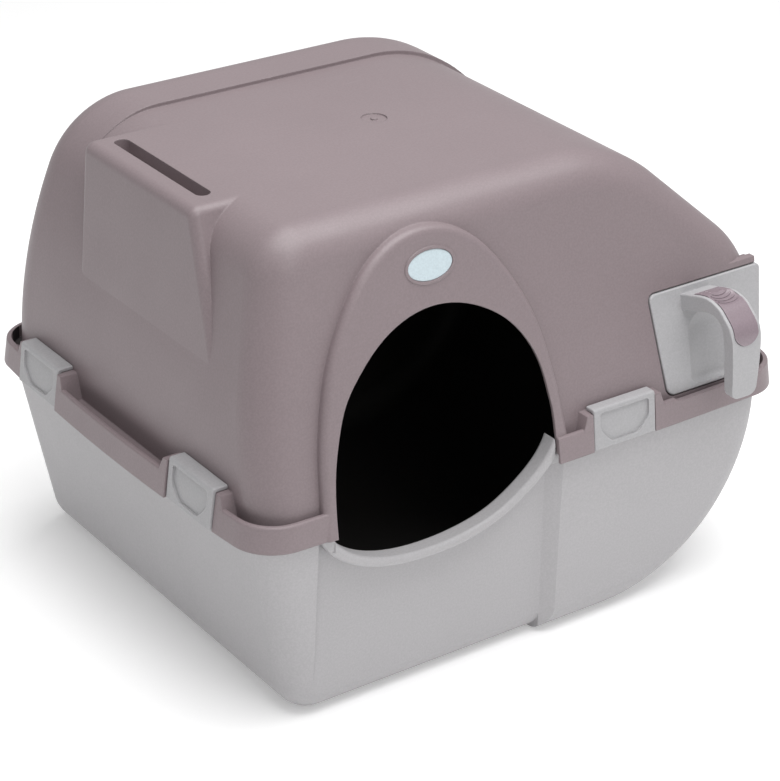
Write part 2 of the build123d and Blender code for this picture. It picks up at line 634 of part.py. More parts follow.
# ---------------------------------------------------------------- sieve inside the hood
GRILL = [(148.0, 292.5), (120.0, 299.0), (70.0, 319.5), (20.0, 346.5), (-30.0, 377.0)]
with BuildPart() as sieve_grill:
    with BuildSketch(Plane.XZ.offset(-215)) as s:
        with BuildLine() as l:
            g1 = Spline(*[(x, z + 1.6) for x, z in GRILL])
            g2 = Spline(*[(x, z - 1.6) for x, z in GRILL])
            Line(g1 @ 0, g2 @ 0)
            Line(g1 @ 1, g2 @ 1)
        make_face()
    extrude(amount=430)
    with BuildSketch(Plane.XY.offset(280.0)):
        with Locations((56.0, 18.0)):
            with GridLocations(82.0, 14.0, 2, 25):
                SlotOverall(72.0, 8.0)
    extrude(amount=120, mode=Mode.SUBTRACT)
    add(in_clear, mode=Mode.INTERSECT)
    add(plate_prism(7.5, -5.0, 7.4), mode=Mode.SUBTRACT)
    # stiffening bead along the free edge
    with BuildPart(mode=Mode.PRIVATE) as bead:
        with BuildSketch(Plane.XZ.offset(-215)):
            with Locations((-30.0, 377.0)):
                Circle(3.4)
        extrude(amount=430)
        add(in_clear, mode=Mode.INTERSECT)
    add(bead.part)
    for x, z, fr in GRILL_SCREWS:
        with BuildSketch(wall_plane(x, z, TAB_OFF, fr)):
            with Locations((0, 2.0 if fr else -2.0)):
                RectangleRounded(17.0, 17.0, 3.0)
        extrude(amount=TAB_T)
        with BuildSketch(wall_plane(x, z, TAB_OFF - 1, fr)):
            Circle(PASS_D / 2)
        extrude(amount=6.0, mode=Mode.SUBTRACT)
sieve_grill.part.label = "sieve_grill"
print("grill", sieve_grill.part.is_valid, len(sieve_grill.part.solids()), sieve_grill.part.bounding_box())
export_step(sieve_grill.part, "parts/sieve_grill.step")

# ---------------------------------------------------------------- rails that carry the tray
RAILS = {"tray_rail_left": (163.0, 151.6, 174.0, 151.6, 154.1), "tray_rail_right": (246.0, 234.0, 255.5, 253.0, 255.5)}
for name, (xs, x0, x1, l0, l1) in RAILS.items():
    with BuildPart() as rail:
        add(box(x0, x1, -207.3, 209.6, 200.5, 203.6))
        add(box(l0, l1, -200.0, 209.6, 200.5, 213.0))
        for fr in (True, False):
            with BuildSketch(wall_plane(xs, 195.2, TAB_OFF, fr)):
                with Locations((0, -3.0 if fr else 3.0)):
                    RectangleRounded(14.0, 16.0, 2.0)
            extrude(amount=TAB_T)
        add(in_clear, mode=Mode.INTERSECT)
        add(box(x0 - 10, x1 + 10, -230.0, -201.0, 203.6, 230.0), mode=Mode.SUBTRACT)
        for fr in (True, False):
            with BuildSketch(wall_plane(xs, 195.2, TAB_OFF - 1, fr)):
                Circle(PASS_D / 2)
            extrude(amount=6.0, mode=Mode.SUBTRACT)
    rail.part.label = name
    print(name, rail.part.is_valid, len(rail.part.solids()), rail.part.bounding_box())
    export_step(rail.part, "parts/" + name + ".step")

# ---------------------------------------------------------------- guide that leads clumps into the tray
with BuildPart() as clump_guide:
    with BuildSketch(Plane.XZ.offset(-215)):
        with BuildLine():
            Polyline((251.6, 305.0), (243.5, 291.4), (241.2, 292.6), (249.2, 306.5), close=True)
        make_face()
    extrude(amount=430)
    for x, z, fr in DEFL_SCREWS:
        with BuildSketch(wall_plane(x, z, TAB_OFF, fr)):
            with Locations((6.5, 2.0 if fr else -2.0)):
                RectangleRounded(27.0, 14.0, 3.0)
        extrude(amount=TAB_T)
        with BuildSketch(wall_plane(239.5, 299.0, TAB_OFF, fr)):
            Rectangle(17.0, 8.0)
        extrude(amount=12.0)
    add(in_clear, mode=Mode.INTERSECT)
    for x, z, fr in DEFL_SCREWS:
        with BuildSketch(wall_plane(x, z, TAB_OFF - 1, fr)):
            Circle(PASS_D / 2)
        extrude(amount=6.0, mode=Mode.SUBTRACT)
clump_guide.part.label = "clump_guide"
print("guide", clump_guide.part.is_valid, len(clump_guide.part.solids()), clump_guide.part.bounding_box())
export_step(clump_guide.part, "parts/clump_guide.step")

with BuildPart() as inner_screws:
    for x, z, fr in INNER:
        with BuildSketch(wall_plane(x, z, TAB_OFF - 7.2, fr)):
            Circle(SCREW_D / 2)
        extrude(amount=7.2 + TAB_T + 0.6)
        with BuildPart(mode=Mode.PRIVATE) as hd:
            with BuildSketch(wall_plane(x, z, TAB_OFF + TAB_T + 0.03, fr)):
                Circle(3.2)
            extrude(amount=2.2)
            fillet(hd.faces().sort_by_distance(wall_plane(x, z, TAB_OFF + TAB_T + 2.3, fr).origin)[0].edges(), 1.0)
            with BuildSketch(wall_plane(x, z, TAB_OFF + TAB_T + 2.3, fr)):
                Rectangle(3.4, 0.8)
                Rectangle(0.8, 3.4)
            extrude(amount=-1.2, mode=Mode.SUBTRACT)
        add(hd.part)
inner_screws.part.label = "inner_screws"
print("inner screws", inner_screws.part.is_valid, len(inner_screws.part.solids()))
export_step(inner_screws.part, "parts/inner_screws.step")

# ---------------------------------------------------------------- waste tray
X_STRAP0, X_STRAP1 = 171.2, 205.0    # handle strap, sides
X_LEV0, X_LEV1 = 174.8, 201.5        # thumb lever, sides
X_TAIL0, X_TAIL1 = 178.8, 197.2      # tail of the lever, sides
LATCH_P = (-261.9, 275.6)            # lever pivot, YZ
LEV_PIN_R, LEV_BOSS_R = 1.25, 2.9
LEV_PROUD = 0.7                      # lever face above the strap's face
Z_TUNNEL = 286.9                     # upper side of the slot for the lever's tail
TRAY_SCREWS = [(168.0, 222.0), (240.0, 222.0), (163.0, 266.0), (240.0, 266.0)]
Y_TR0, Y_TR1 = -190.0, 190.0

with BuildPart() as tray_trough:
    with BuildSketch(Plane.XZ.offset(-Y_TR1)) as s:
        with BuildLine():
            Polyline(*TROUGH, close=True)
        make_face()
        fillet(s.vertices().sort_by(Axis.Y)[:2], 12.0)
    extrude(amount=Y_TR1 - Y_TR0)
    with BuildSketch(Plane.XZ.offset(-(Y_TR1 - 2.5))) as s:
        with BuildLine():
            Polyline((146.55, 290.0), (251.45, 290.0), (247.4, TR_BOT + 2.5), (160.2, TR_BOT + 2.5), close=True)
        make_face()
        fillet(s.vertices().sort_by(Axis.Y)[:2], 9.5)
    extrude(amount=Y_TR1 - Y_TR0 - 5.0, mode=Mode.SUBTRACT)
    for x, z in TRAY_SCREWS:
        with BuildSketch(Plane.XZ.offset(195)):
            with Locations((x, z)):
                Circle(PASS_D / 2)
        extrude(amount=-10, mode=Mode.SUBTRACT)
    add(box(176.0, 200.0, -192.0, -187.0, 271.5, 292.0), mode=Mode.SUBTRACT)
tray_trough.part.label = "tray_trough"
print("trough", tray_trough.part.is_valid, len(tray_trough.part.solids()), tray_trough.part.bounding_box())
export_step(tray_trough.part, "parts/tray_trough.step")

# handle strap, YZ: outer and inner line
S_OUT = [(-198.0, 286.5), (-206.0, 289.0), (-213.2, 291.1), (-224.6, 294.4), (-234.5, 295.9), (-244.5, 294.4), (-251.4, 291.7),
         (-258.6, 286.1), (-265.8, 279.4), (-270.2, 269.0), (-271.3, 255.0), (-271.5, 240.0), (-271.2, 225.0), (-270.8, 211.5)]
S_IN = [(-261.5, 211.5), (-260.5, 230.0), (-260.3, 246.0), (-260.0, 258.0), (-257.5, 272.0), (-251.5, 280.5), (-243.0, 283.4),
        (-235.0, 282.6), (-226.7, 280.0), (-218.0, 277.2), (-208.0, 274.2), (-201.5, 270.5)]
# channel of the lever in the strap: floor line
CHAN = [(-213.7, 280.0), (-219.0, 280.6), (-226.0, 282.4), (-234.0, 285.2), (-243.0, 286.0), (-251.0, 283.8), (-257.0, 279.2)]
# finger scoop in the plate behind the strap
SCOOP_X, SCOOP_R, SCOOP_T, SCOOP_DEEP = 200.0, 42.0, 2.8, 7.0
SCOOP_Z0, SCOOP_Z1 = 203.5, 269.0


def u_prism(clear):
    """front outline of the lever with its round lower end, grown by the clearance"""
    x0, x1, xm = X_LEV0 - clear, X_LEV1 + clear, (X_LEV0 + X_LEV1) / 2
    with BuildPart() as b:
        with BuildSketch(Plane.XZ.offset(205)):
            with BuildLine():
                ThreePointArc((x0, 271.5 - clear), (xm, 262.0 - clear), (x1, 271.5 - clear))
                Polyline((x1, 271.5 - clear), (x1, 312.0), (x0, 312.0), (x0, 271.5 - clear))
            make_face()
        extrude(amount=85)
    return b.part


def scoop_body(grow):
    """body of revolution whose outside is the finger scoop"""
    zm = (SCOOP_Z0 + SCOOP_Z1) / 2
    k = 1.0 / cos(radians(AL))
    s0, s1 = (SCOOP_Z0 - zm) * k - grow * 0.4, (SCOOP_Z1 - zm) * k + grow * 0.4
    pl = Plane(origin=(SCOOP_X, yw(zm), zm), x_dir=(0, cos(radians(AL)), -sin(radians(AL))), z_dir=(1, 0, 0))
    ax = SCOOP_DEEP - 1.4 - SCOOP_R
    lo, hi = ax + SCOOP_R - SCOOP_DEEP - 0.1 + grow * 0.4, ax + SCOOP_R + grow
    o = pl.from_local_coords((ax, 0, 0))
    with BuildPart() as b:
        with BuildSketch(pl):
            with BuildLine():
                Line((ax, s0), (lo, s0))
                ThreePointArc((lo, s0), (hi - 1.6, s0 + 2.6), (hi, s0 + 8.5))
                Line((hi, s0 + 8.5), (hi, s1 - 20.0))
                ThreePointArc((hi, s1 - 20.0), (hi - 1.9, s1 - 8.5), (lo, s1))
                Polyline((lo, s1), (ax, s1), (ax, s0))
            make_face()
        revolve(axis=Axis((o.X, o.Y, o.Z), (0, sin(radians(AL)), cos(radians(AL)))), revolution_arc=360)
    return b.part


with BuildPart() as tray_front:
    with BuildPart(mode=Mode.PRIVATE) as strap:
        with BuildSketch(Plane.YZ.offset(X_STRAP0)) as s:
            with BuildLine():
                a = Spline(*S_OUT)
                b = Spline(*S_IN)
                Line(a @ 1, b @ 0)
                Line(b @ 1, a @ 0)
            make_face()
        extrude(amount=X_STRAP1 - X_STRAP0)
        fillet([e for e in strap.edges() if abs((e @ 0).X - (e @ 1).X) < .01 and e.length > 60], 1.3)
        # plan of the strap seen from the front: narrower and round at the lower end
        with BuildSketch(Plane.XZ.offset(180)) as s:
            with BuildLine():
                Polyline((X_STRAP0, 330.0), (X_STRAP0, 275.0), (176.0, 211.5), (203.2, 211.5), (X_STRAP1, 275.0), (X_STRAP1, 330.0),
                         close=True)
            make_face()
            fillet([v for v in s.vertices() if v.Y < 212], 8.0)
        extrude(amount=110, mode=Mode.INTERSECT)
        # channel of the thumb lever
        with BuildPart(mode=Mode.PRIVATE) as chan:
            with BuildSketch(Plane.YZ.offset(X_LEV0 - 0.35)) as s:
                with BuildLine():
                    c = Spline(*CHAN)
                    Polyline(c @ 1, (-263.5, 271.8), (-267.0, 267.3), (-267.7, 262.0), (-267.7, 255.0), (-290.0, 255.0), (-290.0, 312.0),
                             (-213.7, 312.0), c @ 0)
                make_face()
            extrude(amount=X_LEV1 - X_LEV0 + 0.7)
            add(u_prism(0.35), mode=Mode.INTERSECT)
        add(chan.part, mode=Mode.SUBTRACT)
        with BuildSketch(Plane.YZ.offset(X_LEV0 - 0.35)):
            with Locations(LATCH_P):
                Circle(LEV_BOSS_R + 0.4)
        extrude(amount=X_LEV1 - X_LEV0 + 0.7, mode=Mode.SUBTRACT)
        # bore of the lever pin, blind on the left
        with BuildSketch(Plane.YZ.offset(X_STRAP0 + 1.2)):
            with Locations(LATCH_P):
                Circle(LEV_PIN_R + 0.05)
        extrude(amount=40, mode=Mode.SUBTRACT)
    with BuildPart(mode=Mode.PRIVATE) as pl:
        add(plate_prism(0, -1.4, 2.4))
        ed = [e for e in pl.edges() if all(abs(p.Y - (yw(p.Z) - 1.4)) < .02 for p in (e @ 0, e @ .5, e @ 1))]
        fillet(ed, 1.3)
        with BuildPart(mode=Mode.PRIVATE) as back:
            add(scoop_body(SCOOP_T))
            add(slab(0.5, 20.0), mode=Mode.INTERSECT)
            add(box(170, 230, -260, -150, 202.2, 275), mode=Mode.INTERSECT)
        add(back.part)
        add(scoop_body(0.0), mode=Mode.SUBTRACT)
    add(pl.part)
    add(strap.part)
    # slot for the lever's tail
    add(box(X_TAIL0 - 0.35, X_TAIL1 + 0.35, -217.0, -199.0, 280.0, Z_TUNNEL), mode=Mode.SUBTRACT)
    add(box(X_TAIL0 - 0.35, X_TAIL1 + 0.35, -204.5, -190.0, 279.2, Z_TUNNEL), mode=Mode.SUBTRACT)
    for x, z in TRAY_SCREWS:
        with BuildPart(mode=Mode.PRIVATE) as bs:
            with BuildSketch(Plane.XZ.offset(-Y_TR0 + 0.05)):
                with Locations((x, z)):
                    Circle(4.2)
            extrude(amount=30)
            add(slab(0.5, 60), mode=Mode.INTERSECT)
        add(bs.part)
        with BuildSketch(Plane.XZ.offset(-Y_TR0)):
            with Locations((x, z)):
                Circle(PILOT_D / 2)
        extrude(amount=8.0, mode=Mode.SUBTRACT)
tray_front.part.label = "tray_front"
print("front", tray_front.part.is_valid, len(tray_front.part.solids()), tray_front.part.bounding_box())
export_step(tray_front.part, "parts/tray_front.step")

with BuildPart() as tray_screws:
    for x, z in TRAY_SCREWS:
        with BuildSketch(Plane.XZ.offset(-Y_TR0 - 3.0)):
            with Locations((x, z)):
                Circle(SCREW_D / 2)
        extrude(amount=10.6)
        with BuildPart(mode=Mode.PRIVATE) as hd:
            with BuildSketch(Plane.XZ.offset(-Y_TR0 - 4.6)):
                with Locations((x, z)):
                    Circle(3.2)
            extrude(amount=2.07)
            fillet(hd.faces().sort_by(Axis.Y)[-1].edges(), 1.0)
            with BuildSketch(Plane.XZ.offset(-Y_TR0 - 4.6)):
                with Locations((x, z)):
                    Rectangle(3.4, 0.8)
                    Rectangle(0.8, 3.4)
            extrude(amount=1.1, mode=Mode.SUBTRACT)
        add(hd.part)
tray_screws.part.label = "tray_screws"
print("tray screws", tray_screws.part.is_valid, len(tray_screws.part.solids()), tray_screws.part.bounding_box())
export_step(tray_screws.part, "parts/tray_screws.step")

# thumb lever of the tray
THUMB_C = (188.1, -244.5, 338.8)      # centre of the ball that gives the dished thumb area
THUMB_R = 46.0
RIB_X, RIB_Y = 188.7, -215.5         # common centre of the curved ribs
LEV_OUT = [(y, z) for y, z in inset_points(S_OUT, LEV_PROUD)[2:12]]
with BuildPart() as tray_latch:
    with BuildSketch(Plane.YZ.offset(X_LEV0)) as s:
        with BuildLine():
            o = Spline(*LEV_OUT)
            i1 = Spline((-268.05, 256.0), (-268.05, 262.2), (-267.4, 267.8), (-264.0, 272.9))
            i2 = Spline((-257.6, 280.9), (-251.0, 286.6), (-243.0, 290.2), (-234.0, 291.4), (-226.0, 291.0), (-213.0, 289.0))
            Polyline(o @ 1, (-271.0, 250.0), (-268.05, 250.0), i1 @ 0)
            Line(i1 @ 1, i2 @ 0)
            Line(i2 @ 1, o @ 0)
        make_face()
    extrude(amount=X_LEV1 - X_LEV0)
    add(u_prism(0.0), mode=Mode.INTERSECT)
    add(box(170, 210, -215.2, -190, 270, 310), mode=Mode.SUBTRACT)
    # dished thumb area with curved ribs
    full = tray_latch.part
    with BuildPart(mode=Mode.PRIVATE) as ball:
        with Locations(THUMB_C):
            Sphere(THUMB_R)
    with BuildPart(mode=Mode.PRIVATE) as ribs:
        for r in (7.5, 12.0, 16.5, 21.0, 25.5, 30.0):
            with BuildSketch(Plane.XY.offset(285.0)):
                with Locations((RIB_X, RIB_Y)):
                    Circle(r + 0.85)
                    Circle(r - 0.85, mode=Mode.SUBTRACT)
            extrude(amount=20)
        add(box(177.6, 198.6, -249, -216.6, 280, 310), mode=Mode.INTERSECT)
        add(full, mode=Mode.INTERSECT)
        with Locations(THUMB_C):
            Sphere(THUMB_R - 0.95, mode=Mode.SUBTRACT)
    add(ball.part, mode=Mode.SUBTRACT)
    add(ribs.part)
    # pivot boss
    with BuildSketch(Plane.YZ.offset(X_LEV0)):
        with Locations(LATCH_P):
            Circle(LEV_BOSS_R)
    extrude(amount=X_LEV1 - X_LEV0)
    # tail with its nose behind the plate
    with BuildSketch(Plane.YZ.offset(X_TAIL0)):
        with BuildLine():
            Polyline((-221.5, 292.0), (-221.5, 286.0), (-217.5, 283.4), (-187.8, 283.4), (-187.8, 284.8), (-189.6, 286.4), (-191.2, 286.4),
                     (-191.2, 285.9), (-216.6, 285.9), (-216.6, 290.8), close=True)
        make_face()
    extrude(amount=X_TAIL1 - X_TAIL0)
    with BuildSketch(Plane.YZ.offset(X_LEV0 - 1)):
        with Locations(LATCH_P):
            Circle(LEV_PIN_R + 0.06)
    extrude(amount=40, mode=Mode.SUBTRACT)
tray_latch.part.label = "tray_latch"
print("latch", tray_latch.part.is_valid, len(tray_latch.part.solids()), tray_latch.part.bounding_box())
export_step(tray_latch.part, "parts/tray_latch.step")

with BuildPart() as latch_pin:
    with BuildSketch(Plane.YZ.offset(X_STRAP0 + 1.4)):
        with Locations(LATCH_P):
            Circle(LEV_PIN_R)
    extrude(amount=X_STRAP1 - X_STRAP0 - 1.9)
latch_pin.part.label = "latch_pin"
print("latch pin", latch_pin.part.is_valid, latch_pin.part.bounding_box())
export_step(latch_pin.part, "parts/latch_pin.step")

# return spring between the channel floor and the lever
with BuildPart() as latch_spring:
    with BuildLine(Plane(origin=(188.1, -231.0, 284.95), x_dir=(1, 0, 0), z_dir=(0, 0.17, 0.985))) as hl:
        Helix(pitch=1.35, height=5.4, radius=2.4)
    with BuildSketch(Plane(origin=hl.line @ 0, z_dir=hl.line % 0)):
        Circle(0.3)
    sweep(path=hl.line)
latch_spring.part.label = "latch_spring"
print("spring", latch_spring.part.is_valid, latch_spring.part.bounding_box())
export_step(latch_spring.part, "parts/latch_spring.step")

# blank oval badge in its seat above the entrance
with BuildPart() as oval_badge:
    with BuildSketch(bp.offset(0.95)):
        Ellipse(22.1, 12.7)
    extrude(amount=-1.25)
    fillet([e for e in oval_badge.edges() if (e @ 0).Y < bp.origin.Y + 20 and (bp.to_local_coords(e @ 0)).Z < 0.2], 0.5)
oval_badge.part.label = "oval_badge"
print("badge", oval_badge.part.is_valid, oval_badge.part.bounding_box())
export_step(oval_badge.part, "parts/oval_badge.step")
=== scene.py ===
import bpy
import math
from mathutils import Vector, Matrix
from mathutils.bvhtree import BVHTree

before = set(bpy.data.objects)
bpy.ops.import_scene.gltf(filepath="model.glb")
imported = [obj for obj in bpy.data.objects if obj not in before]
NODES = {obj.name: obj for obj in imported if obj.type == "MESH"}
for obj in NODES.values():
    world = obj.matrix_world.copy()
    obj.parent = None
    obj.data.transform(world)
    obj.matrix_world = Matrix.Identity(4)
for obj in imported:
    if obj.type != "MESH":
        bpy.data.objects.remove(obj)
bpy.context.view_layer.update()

# ------------------------------------------------------------------ shape of the walls, for telling inside from outside (metres)
WALL_IN = 0.0024


def front_wall(z):
    return -0.2224 + (z - 0.179) * 0.2126


def back_wall(z):
    return 0.222 - (z - 0.179) * 0.09


def hood_top(x, square=False):
    """height of the hood's roof surface at x"""
    if square and x < -0.1968:
        return 0.3795 + math.sqrt(max(0.045 ** 2 - (x + 0.1968) ** 2, 0.0))
    if not square and x < -0.1612:
        return 0.3406 + math.sqrt(max(0.0839 ** 2 - (x + 0.1612) ** 2, 0.0))
    if x <= 0.07:
        return 0.4245
    a = math.radians(41.8)
    x1 = 0.07 + 0.15 * math.sin(a)
    x2 = 0.1747 + 0.095 * math.sin(a)
    if x <= x1:
        return 0.2745 + math.sqrt(max(0.15 ** 2 - (x - 0.07) ** 2, 0.0))
    z1, z2 = 0.2745 + 0.15 * math.cos(a), 0.2547 + 0.095 * math.cos(a)
    if x <= x2:
        return z1 + (z2 - z1) * (x - x1) / (x2 - x1)
    return 0.2547 + math.sqrt(max(0.095 ** 2 - (x - 0.1747) ** 2, 0.0))


def left_wall(z, square=False):
    """x of the hood's bowed left wall at z"""
    if z < 0.209:
        return -0.269
    if square and z > 0.305:
        if z < 0.3889:
            return -0.2588 + (z - 0.305) * 0.2144
        return -0.1968 - math.sqrt(max(0.045 ** 2 - (z - 0.3795) ** 2, 0.0))
    if z < 0.3701:
        return -0.269 + 0.458 - math.sqrt(0.458 ** 2 - (z - 0.209) ** 2)
    return -0.1612 - math.sqrt(max(0.0839 ** 2 - (z - 0.3406) ** 2, 0.0))


def hood_inside(p, n):
    x, y, z = p
    if z < 0.187 or (z > 0.4085 and -0.234 < x < -0.213 and -0.07 < y < 0.087):
        return False
    square = y < -0.060
    body = min(x - left_wall(z, square), hood_top(x, square) - z)
    if x < -0.15:
        panel = min(x + 0.2642 - (z - 0.235) * 0.0765, 0.4245 - z, 0.93 * (y + 0.131 - (z - 0.295) * 0.383), 0.0955 - y, z - 0.235)
        body = max(body, panel)
    depth = min(y - front_wall(z), back_wall(z) - y, 0.2697 - x, body)
    if -0.222 < x < 0.036 and z < 0.41 and y < front_wall(z) + 0.004:
        depth = max(depth, min(y - front_wall(z) + 0.0088, x - left_wall(z, square)))
    facing = n.dot(Vector((0.0, 0.0, 0.28)) - p) > 0
    if depth > 0.012:
        return facing or y > front_wall(z) + 0.012 and x < 0.2
    return depth > WALL_IN and facing


def base_inside(p, n):
    x, y, z = p
    front = -0.212 if x < 0.026 else -(0.211 + z * 0.0615)
    right = 0.17 - math.hypot(x - 0.092, 0.17 - min(z, 0.17)) if x > 0.092 else 1.0
    depth = min(y - front, 0.213 + z * 0.0503 - y, x + 0.236 + 0.1955 * z, z, right)
    return depth > WALL_IN and n.dot(Vector((0.0, 0.0, 0.12)) - p) > 0


# ------------------------------------------------------------------ materials
def _new(name):
    m = bpy.data.materials.new(name)
    m.use_nodes = True
    nt = m.node_tree
    nt.nodes.clear()
    out = nt.nodes.new("ShaderNodeOutputMaterial")
    b = nt.nodes.new("ShaderNodeBsdfPrincipled")
    nt.links.new(b.outputs["BSDF"], out.inputs["Surface"])
    return m, nt, b


def _noise(nt, vec, scale, detail=2.0, rough=0.5, dist=0.0):
    n = nt.nodes.new("ShaderNodeTexNoise")
    n.inputs["Scale"].default_value = scale
    n.inputs["Detail"].default_value = detail
    n.inputs["Roughness"].default_value = rough
    n.inputs["Distortion"].default_value = dist
    nt.links.new(vec, n.inputs["Vector"])
    return n.outputs["Fac"]


def _range(nt, val, a, b, c, d, smooth=False):
    n = nt.nodes.new("ShaderNodeMapRange")
    if smooth:
        n.interpolation_type = "SMOOTHSTEP"
    n.inputs["From Min"].default_value = a
    n.inputs["From Max"].default_value = b
    n.inputs["To Min"].default_value = c
    n.inputs["To Max"].default_value = d
    nt.links.new(val, n.inputs["Value"])
    return n.outputs["Result"]


def _math(nt, op, a, b=None):
    n = nt.nodes.new("ShaderNodeMath")
    n.operation = op
    for k, v in enumerate((a, b)):
        if v is None:
            continue
        if isinstance(v, (int, float)):
            n.inputs[k].default_value = v
        else:
            nt.links.new(v, n.inputs[k])
    return n.outputs[0]


def _mix(nt, fac, a, b, mode="MIX"):
    n = nt.nodes.new("ShaderNodeMix")
    n.data_type = "RGBA"
    n.blend_type = mode
    if isinstance(fac, (int, float)):
        n.inputs["Factor"].default_value = fac
    else:
        nt.links.new(fac, n.inputs["Factor"])
    for sock, v in ((n.inputs["A"], a), (n.inputs["B"], b)):
        if isinstance(v, tuple):
            sock.default_value = (*v, 1.0)
        else:
            nt.links.new(v, sock)
    return n.outputs["Result"]


def srgb(r, g, b):
    f = lambda c: (c / 255 / 12.92) if c / 255 <= 0.04045 else ((c / 255 + 0.055) / 1.055) ** 2.4
    return (f(r), f(g), f(b))


def plastic(name, col, rough=0.48, grain=1.0, fine=900.0, coarse=330.0, edge=0.10, mottle=0.05, scuffs=0.0, foot=False, bevel=0.0009, spec=0.5):
    """satin moulded plastic: broad colour drift, etched grain, faint flow streaks, edges lightened in colour (part
    rubbing wear, part painted highlight)
    """
    m, nt, b = _new(name)
    tc = nt.nodes.new("ShaderNodeTexCoord")
    vec = tc.outputs["Object"]
    # colour
    drift = _noise(nt, vec, 5.0, 3.0, 0.55)
    k = _range(nt, drift, 0.3, 0.7, 0.0, 1.0)
    light = tuple(min(1.0, c * (1 + mottle)) for c in col)
    dark = tuple(c * (1 - mottle) for c in col)
    colour = _mix(nt, k, dark, light)
    speck = _range(nt, _noise(nt, vec, coarse * 1.7, 1.0, 0.6), 0.35, 0.68, 0.955, 1.045)
    comb = nt.nodes.new("ShaderNodeCombineColor")
    for s in ("Red", "Green", "Blue"):
        nt.links.new(speck, comb.inputs[s])
    colour = _mix(nt, 1.0, colour, comb.outputs["Color"], "MULTIPLY")
    # edges lightened in colour: partly rubbing wear, partly painted highlight
    bev = nt.nodes.new("ShaderNodeBevel")
    bev.samples = 4
    bev.inputs["Radius"].default_value = bevel
    wide = nt.nodes.new("ShaderNodeBevel")
    wide.samples = 4
    wide.inputs["Radius"].default_value = 0.0022
    geo = nt.nodes.new("ShaderNodeNewGeometry")
    dot = nt.nodes.new("ShaderNodeVectorMath")
    dot.operation = "DOT_PRODUCT"
    nt.links.new(wide.outputs["Normal"], dot.inputs[0])
    nt.links.new(geo.outputs["Normal"], dot.inputs[1])
    edge_f = _range(nt, dot.outputs["Value"], 0.995, 0.80, 0.0, 1.0)
    broken = _range(nt, _noise(nt, vec, 60.0, 3.0, 0.6), 0.35, 0.65, 0.35, 1.0)
    edge_f = _math(nt, "MULTIPLY", edge_f, broken)
    edge_f = _math(nt, "MULTIPLY", edge_f, edge)
    # lighter colour along edges: wear plus painted highlight
    colour = _mix(nt, edge_f, colour, tuple(min(1.0, c * 1.9 + 0.06) for c in col))
    # fine scratches and scuffs, stretched noise
    mp = nt.nodes.new("ShaderNodeMapping")
    mp.inputs["Scale"].default_value = (22.0, 260.0, 150.0)
    mp.inputs["Rotation"].default_value = (0.3, 0.25, 0.55)
    nt.links.new(vec, mp.inputs["Vector"])
    streak = _range(nt, _noise(nt, mp.outputs["Vector"], 1.0, 4.0, 0.62), 0.60, 0.74, 0.0, 1.0)
    patch = _range(nt, _noise(nt, vec, 11.0, 2.0, 0.5), 0.48, 0.64, 0.0, 1.0)
    streak = _math(nt, "MULTIPLY", streak, patch)
    if scuffs:
        colour = _mix(nt, _math(nt, "MULTIPLY", streak, scuffs), colour, tuple(min(1.0, c * 1.35 + 0.03) for c in col))
    if foot:
        # darker towards the bottom, in noisy patches
        sep = nt.nodes.new("ShaderNodeSeparateXYZ")
        nt.links.new(vec, sep.inputs["Vector"])
        low = _range(nt, sep.outputs["Z"], 0.001, 0.016, 1.0, 0.0, True)
        low = _math(nt, "MULTIPLY", low, _range(nt, _noise(nt, vec, 34.0, 4.0, 0.6), 0.38, 0.66, 0.10, 0.55))
        colour = _mix(nt, low, colour, tuple(c * 0.72 for c in col))
    nt.links.new(colour, b.inputs["Base Color"])
    # roughness
    r = _range(nt, _noise(nt, vec, 14.0, 4.0, 0.6), 0.25, 0.75, rough - 0.05, rough + 0.05)
    r = _math(nt, "SUBTRACT", r, _math(nt, "MULTIPLY", streak, 0.07))
    r = _math(nt, "SUBTRACT", r, _math(nt, "MULTIPLY", edge_f, 0.5))
    nt.links.new(r, b.inputs["Roughness"])
    b.inputs["IOR"].default_value = 1.5
    b.inputs["Specular IOR Level"].default_value = spec
    # etched grain
    h1 = _noise(nt, vec, fine, 2.0, 0.55)
    h2 = _noise(nt, vec, coarse, 2.0, 0.5)
    h = _math(nt, "ADD", _math(nt, "MULTIPLY", h1, 0.45), _math(nt, "MULTIPLY", h2, 0.55))
    h = _math(nt, "SUBTRACT", h, _math(nt, "MULTIPLY", streak, 0.12))
    bump = nt.nodes.new("ShaderNodeBump")
    bump.inputs["Strength"].default_value = 0.55
    bump.inputs["Distance"].default_value = 0.00022 * grain
    nt.links.new(h, bump.inputs["Height"])
    nt.links.new(bev.outputs["Normal"], bump.inputs["Normal"])
    # long shallow waviness of a moulded wall
    bump2 = nt.nodes.new("ShaderNodeBump")
    bump2.inputs["Strength"].default_value = 0.5
    bump2.inputs["Distance"].default_value = 0.0007
    nt.links.new(_noise(nt, vec, 9.0, 1.0, 0.4), bump2.inputs["Height"])
    nt.links.new(bump.outputs["Normal"], bump2.inputs["Normal"])
    nt.links.new(bump2.outputs["Normal"], b.inputs["Normal"])
    return m


def steel(name, col, rough=0.3):
    m, nt, b = _new(name)
    tc = nt.nodes.new("ShaderNodeTexCoord")
    vec = tc.outputs["Object"]
    n = _noise(nt, vec, 260.0, 3.0, 0.6)
    nt.links.new(_mix(nt, _range(nt, n, 0.3, 0.7, 0.0, 1.0), tuple(c * 0.85 for c in col), col), b.inputs["Base Color"])
    nt.links.new(_range(nt, _noise(nt, vec, 900.0, 2.0), 0.3, 0.7, rough - 0.07, rough + 0.08), b.inputs["Roughness"])
    b.inputs["Metallic"].default_value = 1.0
    bump = nt.nodes.new("ShaderNodeBump")
    bump.inputs["Strength"].default_value = 0.3
    bump.inputs["Distance"].default_value = 0.00005
    nt.links.new(_noise(nt, vec, 1500.0, 1.0), bump.inputs["Height"])
    nt.links.new(bump.outputs["Normal"], b.inputs["Normal"])
    return m


